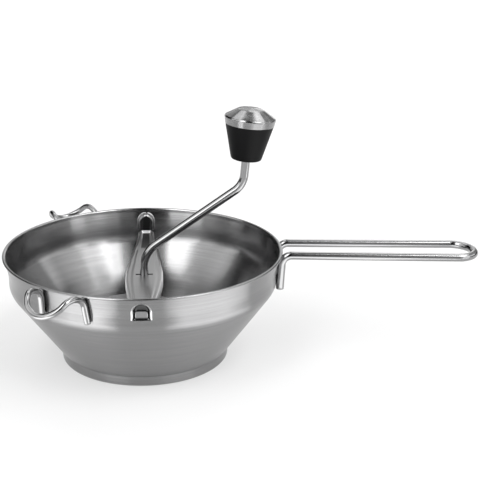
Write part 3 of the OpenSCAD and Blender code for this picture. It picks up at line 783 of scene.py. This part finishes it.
def box_shape(x0, x1, y0, y1, z0, z1):
    V = [(x, y, z) for x in (x0, x1) for y in (y0, y1) for z in (z0, z1)]
    return V, [(0, 1, 3, 2), (4, 6, 7, 5), (0, 4, 5, 1), (2, 3, 7, 6), (0, 2, 6, 4), (1, 5, 7, 3)]


def rod_shape(r, z0, z1, n=64):
    V, F, _ = lathe([(0, z0), (r, z0), (r, z1), (0, z1)], n, closed=False)
    return V, F


cut(BAR, [rod_shape(ROD_R + 0.06, 45, 63), box_shape(-5.9, 5.9, -1.15, 1.15, 45, 63)])


# ---------------------------------------------------------------- crank rod
def crank():
    p = [(0, 0, 0.6), (0, 0, BEND_Z), (UP_X, 0, UP_Z), tuple(KO + KD * 27.6)]
    path = densify(fillet(p, [0, 20, 15, 0], 3), 1.0)
    ear_top = KO + KD * 4.0

    def press(i, c, ring):
        # ears pinched out of the rod under the spring seat and under the knob
        if c[2] < 45:
            w = float(smooth01((c[2] - 33.2) / 1.6) * (1 - smooth01((c[2] - 36.75) / 0.2)))
            if w > 0:
                d = ring - c
                ring = c + d * np.array([1 + w * 0.86, 1 - w * 0.55, 1])
        h = float((c - KO) @ KD)
        if 0.5 < h < 4.3 and c[0] > 60:
            w = float(smooth01((h - 0.6) / 1.4) * (1 - smooth01((h - 3.75) / 0.2)))
            d = ring - c
            u = np.array([KD[2], 0, -KD[0]])
            ring = c + d + np.outer(d[:, 1], [0, 1, 0]) * w * 0.72 - np.outer(d @ u, u) * w * 0.55
        return ring

    return tube(path, ROD_R, 56, end=0.8, shape=press)


V, F, U = crank()
make("crank_rod_wire", V, F, "crank", ["crank_rod"], M_ROD, uv=U)

# ---------------------------------------------------------------- knob
KNOB_PLACE = Matrix.Translation(Vector(KO * MM)) @ Matrix.Rotation(LEAN, 4, "Y")
grip = np.concatenate([
    fillet([(2.96, 5.1), (6.4, 5.1), (6.6, 0.35), (7.0, 0.0), (10.15, 0.0), (16.15, 23.75), (15.6, 23.95), (15.2, 24.25),
            (15.0, 26.8), (14.5, 27.2), (8.6, 27.2), (8.6, 23.4), (2.96, 23.4)],
           [0, 0.3, 0.25, 0.2, 1.75, 0.25, 0.1, 0.2, 0.2, 0.2, 0.2, 0.2, 0], 9)])
grip = densify(grip, 1.2)
V, F, U = lathe(grip, 160)
make("knob_grip_black", V, F, "knob", ["knob_grip"], M_KNOB, uv=U, place=KNOB_PLACE)

cap_out = densify(fillet([(16.37, 23.9), (17.3, 28.9), (8.4, 34.3), (0, 34.9)], [0, 1.5, 5, 0], 5), 0.6)
cap_in = offset2(cap_out, 0.8)
cap_in[:, 0] = np.maximum(cap_in[:, 0], 0)
lipc = fillet([cap_in[0], cap_in[0] + (cap_out[0] - cap_in[0]) * 0.5 + np.array([0, -0.15]), cap_out[0]], [0, 0.1, 0], 20)[1:-1]
prof = np.concatenate([cap_in[::-1], lipc, cap_out])
prof[:, 1] = np.maximum(prof[:, 1], 23.86)
prof[0, 0] = 0.0
V, F, U = lathe(prof, 160, closed=False)
make("knob_cap_steel", V, F, "knob", ["knob_cap"], M_CAP, uv=U, place=KNOB_PLACE)


# ---------------------------------------------------------------- washers, spring, hub, pin, eyelet
def washer(z, ro, ri, h, c=0.18):
    return fillet_loop([(ri, z), (ro, z), (ro, z + h), (ri, z + h)], [c * 0.5, c, c, c * 0.5], 15)


def turned(name, prof, body, nd, mat, n=120, place=None):
    V, F, U = lathe(prof, n)
    return make(name, V, F, body, [nd], mat, uv=U, place=place)


turned("spring_top_ring", washer(55, 7.6, 3.35, 1), "bowl", "spring_top_washer", M_SMALL)
turned("spring_seat_ring", washer(37, 7.6, 2.96, 1), "spring_seat", "spring_seat_washer", M_SMALL)
turned("knob_lower_ring", washer(4, 6.0, 2.93, 1), "crank", "knob_lower_washer", M_SMALL, place=KNOB_PLACE)
turned("knob_top_ring", washer(23.5, 6.6, 2.93, 1), "crank", "knob_top_washer", M_SMALL, place=KNOB_PLACE)
nut = fillet_loop([(2.9, 0.6), (3.9, 0), (5.6, 0), (5.6, 0.5), (4.1, 0.5), (3.05, 1.7), (2.9, 1.7)], [0, 0.2, 0.1, 0.1, 0.2, 0, 0], 15)
nut[:, 1] += 24.5
turned("knob_push_on_nut", nut, "crank", "knob_push_nut", M_SPRING, place=KNOB_PLACE)
eye = fillet_loop([(2.96, 0.2), (5.6, 0.2), (6, 0.35), (6, 0.7), (4, 0.7), (4, 1.5), (6, 1.5), (6, 1.8), (5.6, 2.0),
                   (4.2, 2.0), (3.8, 2.7), (3.7, 3.4), (3.26, 3.6), (2.96, 3.3)],
                  [0.1, 0.15, 0.15, 0, 0, 0, 0, 0.15, 0.15, 0.4, 0.3, 0.15, 0.15, 0.1], 15)
turned("disc_eyelet_ring", eye, "bowl", "disc_eyelet", M_SMALL)


def spring():
    wire, coils, mean, z0, length = 1.3, 6.5, 5.6, 38.0, 17.0
    r, l, k = wire / 2, length - wire, 0.9 / coils
    pts = []
    for i in range(521):
        w = i / 520
        if w < k:
            h = 0.5 * w * w / k
        elif w > 1 - k:
            h = 1 - k - 0.5 * (1 - w) ** 2 / k
        else:
            h = w - 0.5 * k
        a = 2 * math.pi * coils * w
        pts.append([mean * math.cos(a), mean * math.sin(a), z0 + r + l * h / (1 - k)])
    return tube(pts, r, 20, end=0.2)


V, F, U = spring()
SPRING = make("crank_return_spring", V, F, "bowl", ["crank_spring"], M_SPRING, uv=U)
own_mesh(SPRING)

EDGE_S, EDGE_Z, BLADE_R, BLADE_T = -12.0, 1.8, 54.0, 1.2
SLOPE = 19.8 / (BLADE_R - EDGE_S)
PLATE_TOP = EDGE_Z + BLADE_T / 2 - SLOPE * EDGE_S + BLADE_T / 2 / math.cos(math.atan(SLOPE))


def turn_z(V, a):
    c, s = math.cos(a), math.sin(a)
    V = np.asarray(V, float)
    return np.c_[V[:, 0] * c - V[:, 1] * s, V[:, 0] * s + V[:, 1] * c, V[:, 2]]


def hub():
    """A collar whose foot is cut to the blade's slope."""
    n = 96
    rows = [(2.9, None, 0.0), (6.25, None, 0.0), (6.4, None, 0.15)]
    up = [(6.4, 18.5), (6.25, 19.05), (5.95, 19.35), (5.6, 19.4), (3.2, 19.4), (2.9, 19.15)]
    V = []
    for r, z, dz in rows:
        for j in range(n):
            t = 2 * math.pi * j / n
            V.append([r * math.cos(t), r * math.sin(t), PLATE_TOP + SLOPE * r * math.cos(t) - 0.02 + dz])
    for r, z in up:
        for j in range(n):
            t = 2 * math.pi * j / n
            V.append([r * math.cos(t), r * math.sin(t), z])
    F = ring_faces(len(rows) + len(up), n, True)
    uv = [[j / n, 0.05 * i] for i in range(len(rows) + len(up)) for j in range(n)]
    return turn_z(V, BLADE_DIR), F, uv


V, F, U = hub()
make("blade_collar", V, F, "crank", ["blade_hub"], M_SMALL, uv=U)

pin = densify(np.array([[0, 6.1, 14.5], [0, -6.1, 14.5]], float), 1.0)
V, F, U = tube(turn_z(pin, BLADE_DIR), 1.0, 32, end=0.2)
make("blade_cross_pin", V, F, "crank", ["blade_pin"], M_SPRING, uv=U)


def blade():
    mid = fillet([(EDGE_S - 6.2, EDGE_Z + BLADE_T / 2 + 5.2), (EDGE_S - 0.9, EDGE_Z + BLADE_T / 2 - 0.15),
                  (BLADE_R + 4, EDGE_Z + BLADE_T / 2 + SLOPE * (BLADE_R + 4 - EDGE_S))], [0, 2.6, 0], 7)
    flat_end = 53.97
    keep = mid[mid[:, 0] < flat_end]
    s_end = np.array([flat_end, EDGE_Z + BLADE_T / 2 + SLOPE * (flat_end - EDGE_S)])
    # stations close together towards the round far edge
    start = keep[-1]
    w = 1 - np.cos(np.linspace(0, math.pi / 2, 60)[1:])
    u = np.sin(np.linspace(0, math.pi / 2, 90)[1:])
    far = np.array([start + (s_end - start) * q for q in u])
    path = np.concatenate([keep, far])
    T = np.gradient(path, axis=0)
    T /= np.linalg.norm(T, axis=1)[:, None]
    N = np.c_[-T[:, 1], T[:, 0]]
    n, m = len(path), 61
    V, uv = [], []
    for side in (1, -1):
        for i in range(n):
            s, z = path[i] + N[i] * side * BLADE_T / 2
            hw = math.sqrt(max(0.3, BLADE_R ** 2 - min(abs(path[i][0]), 53.99) ** 2))
            hw = min(hw, math.sqrt(max(0.3, BLADE_R ** 2 - s * s)) if abs(s) < BLADE_R else 0.5)
            for j in range(m):
                b = hw * math.sin(math.pi / 2 * (2 * j / (m - 1) - 1))
                V.append([s, b, z])
                uv.append([0.02 + 0.9 * j / (m - 1), 0.02 + 0.4 * i / n])
    F = []
    o = n * m
    for i in range(n - 1):
        for j in range(m - 1):
            a = i * m + j
            F.append((a, a + 1, a + m + 1, a + m))
            F.append((o + a, o + a + m, o + a + m + 1, o + a + 1))
    for j in range(m - 1):
        F.append((j + 1, j, o + j, o + j + 1))
        a = (n - 1) * m + j
        F.append((a, a + 1, o + a + 1, o + a))
    for i in range(n - 1):
        a = i * m
        F.append((a, a + m, o + a + m, o + a))
        a = i * m + m - 1
        F.append((a + m, a, o + a, o + a + m))
    return turn_z(V, BLADE_DIR), F, uv


V, F, U = blade()
BLADE = make("scraper_blade_plate", V, F, "crank", ["scraper_blade"], M_BLADE, uv=U, bevel=0.18)
cut(BLADE, [rod_shape(2.96, 1.0, 12.0)])


# ---------------------------------------------------------------- sieve disc
def sieve():
    R, collar, top, bot = 55.85, 0.8, DISC_Z + SIEVE_T, DISC_Z
    r_in = R - collar
    pitch, hr, ch = 4.8, 1.3, 0.12
    holes = []
    for j in range(-14, 15):
        for i in range(-16, 17):
            x, y = (i + (0 if j % 2 == 0 else 0.5)) * pitch, j * pitch * math.sqrt(3) / 2
            d = math.hypot(x, y)
            if 10.5 < d < 50.45:
                holes.append((x, y))
    n_rim, n_hole, n_mid = 180, 24, 48
    verts, faces = [], []

    def circle(cx, cy, r, z, n):
        a = len(verts)
        for k in range(n):
            t = 2 * math.pi * k / n
            verts.append((cx + r * math.cos(t), cy + r * math.sin(t), z))
        return list(range(a, a + n))

    def plate(z, rim_r, hole_r, mid_r, flip):
        loops = [circle(0, 0, rim_r, z, n_rim), circle(0, 0, mid_r, z, n_mid)]
        loops += [circle(x, y, hole_r, z, n_hole) for x, y in holes]
        ids = [i for lp in loops for i in lp]
        index = {v: k for k, v in enumerate(ids)}
        pts = [Vector((verts[i][0], verts[i][1])) for i in ids]
        # loose points between the rim and the holes keep the faces even
        extra = []
        for rr, nn in ((rim_r - 1.6, 120), (rim_r - 3.0, 100), (7.2, 36), (9.0, 36)):
            for k in range(nn):
                t = 2 * math.pi * (k + 0.5) / nn
                x, y = rr * math.cos(t), rr * math.sin(t)
                if all((x - a) ** 2 + (y - b) ** 2 > (hole_r + 0.5) ** 2 for a, b in holes):
                    extra.append((x, y))
        e0 = len(verts)
        for x, y in extra:
            verts.append((x, y, z))
            ids.append(len(verts) - 1)
            pts.append(Vector((x, y)))
        edges = [(index[lp[k]], index[lp[(k + 1) % len(lp)]]) for lp in loops for k in range(len(lp))]
        out = geometry.delaunay_2d_cdt(pts, edges, [], 0, 1e-7)
        ov, of, orig = out[0], out[2], out[3]
        grid = {}
        for a, b in holes:
            grid.setdefault((round(a / 5), round(b / 5)), []).append((a, b))
        for f in of:
            c = sum((ov[i] for i in f), Vector((0, 0))) / len(f)
            d = c.length
            if d > rim_r or d < mid_r:
                continue
            gx, gy = round(c.x / 5), round(c.y / 5)
            near = [h for p in (-1, 0, 1) for q in (-1, 0, 1) for h in grid.get((gx + p, gy + q), [])]
            if any((c.x - a) ** 2 + (c.y - b) ** 2 < (hole_r * 0.985) ** 2 for a, b in near):
                continue
            t = tuple(ids[orig[i][0]] for i in f)
            faces.append(tuple(reversed(t)) if flip else t)
        return loops

    top_l = plate(top, r_in - 0.35, hr + ch, 4.0, False)
    bot_l = plate(bot, R - 0.3, hr, 4.0, True)

    def bridge(a, b):
        n = len(a)
        for k in range(n):
            faces.append((a[k], b[k], b[(k + 1) % n], a[(k + 1) % n]))

    # hole walls with a small chamfer above
    for lt, lb, (x, y) in zip(top_l[2:], bot_l[2:], holes):
        mid = circle(x, y, hr, top - ch, n_hole)
        bridge(lt, mid)
        bridge(mid, lb)
    bridge(top_l[1], bot_l[1])
    # up the collar and down its outside
    last = top_l[0]
    for r, z in ((r_in - 0.12, top + 0.06), (r_in, top + 0.3), (r_in, 2.95), (r_in + 0.1, 3.07), (r_in + 0.4, 3.1), (R - 0.1, 3.05),
                 (R, 2.9), (R, 1.0), (R - 0.09, bot + 0.09)):
        nxt = circle(0, 0, r, z, n_rim)
        bridge(nxt, last)
        last = nxt
    bridge(bot_l[0], last)
    return np.array(verts), faces


V, F = sieve()
DISC = make("sieve_disc_plate", V, F, "bowl", ["sieve_disc"], M_DISC, sharp=30)

# ---------------------------------------------------------------- floor, light and camera
bm = bmesh.new()
for a in (-6, 6):
    for b in (-6, 6):
        bm.verts.new((a, b, 0))
bm.verts.ensure_lookup_table()
bm.faces.new([bm.verts[i] for i in (0, 2, 3, 1)])
fl = bpy.data.meshes.new("floor")
bm.to_mesh(fl)
bm.free()
floor = bpy.data.objects.new("floor", fl)
bpy.context.scene.collection.objects.link(floor)
m, nt, sh = new_mat("floor_paper")
nz = node(nt, "ShaderNodeTexNoise", in_Scale=3.0, in_Detail=2.0)
link(nt, ramp(nt, nz.outputs[0], [(0.3, (0.36, 0.36, 0.36)), (0.7, (0.38, 0.38, 0.38))]), sh.inputs["Base Color"])
sh.inputs["Roughness"].default_value = 0.9
sh.inputs["Emission Color"].default_value = (1, 1, 1, 1)
sh.inputs["Emission Strength"].default_value = 0.50
sh.inputs["Specular IOR Level"].default_value = 0.1
floor.data.materials.append(m)
floor.location = (0, 0, -0.0002)

AZ, EL, ROLL = math.radians(-3.86), math.radians(18.615), math.radians(0.55)
back = np.array([math.sin(AZ) * math.cos(EL), -math.cos(AZ) * math.cos(EL), math.sin(EL)])
right = np.array([math.cos(AZ), math.sin(AZ), 0])
up = np.cross(back, right)
c, s = math.cos(ROLL), math.sin(ROLL)
right, up = c * right + s * up, -s * right + c * up
cam = bpy.data.cameras.new("camera")
cam.sensor_width = 36
cam.lens = 1101.63 / 480 * 36
cam.clip_start, cam.clip_end = 0.01, 50
cam_ob = bpy.data.objects.new("camera", cam)
bpy.context.scene.collection.objects.link(cam_ob)
loc = np.array([17.67, -713.95, 322.13]) * MM
cam_ob.matrix_world = Matrix([[right[0], up[0], back[0], loc[0]], [right[1], up[1], back[1], loc[1]],
                              [right[2], up[2], back[2], loc[2]], [0, 0, 0, 1]])
bpy.context.scene.camera = cam_ob


# Soft studio light: five belts of glow round the table, one above the other. Each is (lowest, highest, strengths),
# heights in degrees, strengths at even steps once round from the camera's side, first towards the handle.
BELTS = [
    (-6, 14, [0, 0, 1.1, 0.9, 1.8, 0, 0.2, 0, 0, 0.1, 0.4, 1.2, 0.3, 0.6, 0, 0, 0, 0, 0.4, 0, 0, 1.5, 0.9, 0]),
    (14, 30, [0, 0.7, 0.9, 2, 2.2, 1.3, 1.4, 1.6, 0.5, 0.4, 0.2, 0.8, 0.9, 0.5, 0, 0, 0, 0.1, 1.6, 1.2, 1.7, 2.8, 2.5, 0]),
    (30, 48, [0, 0.1, 0, 3, 1.3, 0.7, 0.8, 0.3, 0.6, 0.3, 0.9, 2, 0.3, 0.8, 0, 0, 0, 0.5, 1.2, 1, 0.8, 3.3, 2.8, 0]),
    (48, 68, [0, 0, 1.2, 6.2, 5.5, 4.6, 5, 2.7, 2.7, 1.1, 1.1, 2.4, 2.4, 1.4, 1.4, 0.5, 1.9, 1.9, 0.8, 0.8, 0.4, 0.4, 0.8, 0.8, 1.8, 2.2, 4.8, 5.2, 0.8, 0]),
    (68, 96, [0, 0.5, 0, 0, 1.6, 1.4]),
]
MOST = 7.0
world = bpy.data.worlds.new("studio")
world.use_nodes = True
bpy.context.scene.world = world
wn = world.node_tree
bg = wn.nodes["Background"]
tc = wn.nodes.new("ShaderNodeTexCoord")
xyz = wn.nodes.new("ShaderNodeSeparateXYZ")
wn.links.new(tc.outputs["Generated"], xyz.inputs[0])
rise = maths(wn, "MULTIPLY", maths(wn, "ARCSINE", xyz.outputs[2]), 180 / math.pi)
turned_by = maths(wn, "ARCTAN2", xyz.outputs[0], maths(wn, "MULTIPLY", xyz.outputs[1], -1.0))
once = maths(wn, "FRACT", maths(wn, "ADD", maths(wn, "MULTIPLY", turned_by, 0.5 / math.pi), 1.0))
total = None
for low, high, glow in BELTS:
    n = len(glow)
    stops = [(max(0.0, (k - 0.5) / n), (g / MOST,) * 3) for k, g in enumerate(glow)] + [((n - 0.5) / n, (glow[0] / MOST,) * 3)]
    around = ramp(wn, once, stops, "CONSTANT")
    edges = []
    for h in (low, high):
        mr = wn.nodes.new("ShaderNodeMapRange")
        mr.interpolation_type = "SMOOTHSTEP"
        mr.inputs[1].default_value, mr.inputs[2].default_value = h - 1.5, h + 1.5
        wn.links.new(rise, mr.inputs[0])
        edges.append(mr.outputs[0])
    belt = maths(wn, "MULTIPLY", maths(wn, "MULTIPLY", around, MOST), maths(wn, "SUBTRACT", edges[0], edges[1]))
    total = belt if total is None else maths(wn, "ADD", total, belt)
# above the far edge of the floor the room shows as plain white
path = wn.nodes.new("ShaderNodeLightPath")
seen = wn.nodes.new("ShaderNodeMix")
wn.links.new(path.outputs["Is Camera Ray"], seen.inputs[0])
wn.links.new(maths(wn, "MULTIPLY", total, 1.35), seen.inputs[2])
seen.inputs[3].default_value = 1.0
wn.links.new(seen.outputs[0], bg.inputs[1])
bg.inputs[0].default_value = (1, 1, 1, 1)



def low_light(x, y, turn, length, width, power):
    """A soft panel lying on the floor in front, outside the picture."""
    lamp = bpy.data.lights.new("low_light", "AREA")
    lamp.shape = "RECTANGLE"
    lamp.size, lamp.size_y = length * MM, width * MM
    lamp.energy = power
    ob = bpy.data.objects.new("low_light", lamp)
    bpy.context.scene.collection.objects.link(ob)
    ob.matrix_world = Matrix.Translation((x * MM, y * MM, 0.002)) @ Matrix.Rotation(math.radians(turn), 4, "Z") @ Matrix.Rotation(math.pi, 4, "X")
    ob.visible_camera = False


low_light(155, -149, 43, 180, 170, 0.17)
low_light(135, -165, 43, 60, 170, 0.03)
low_light(-143, -163, 138, 135, 170, 0.16)
low_light(372, -178, 30, 110, 110, 0.1)
low_light(-205, -230, -40, 120, 120, 0.12)

bpy.context.scene.view_settings.view_transform = "Standard"
bpy.context.scene.view_settings.look = "None"
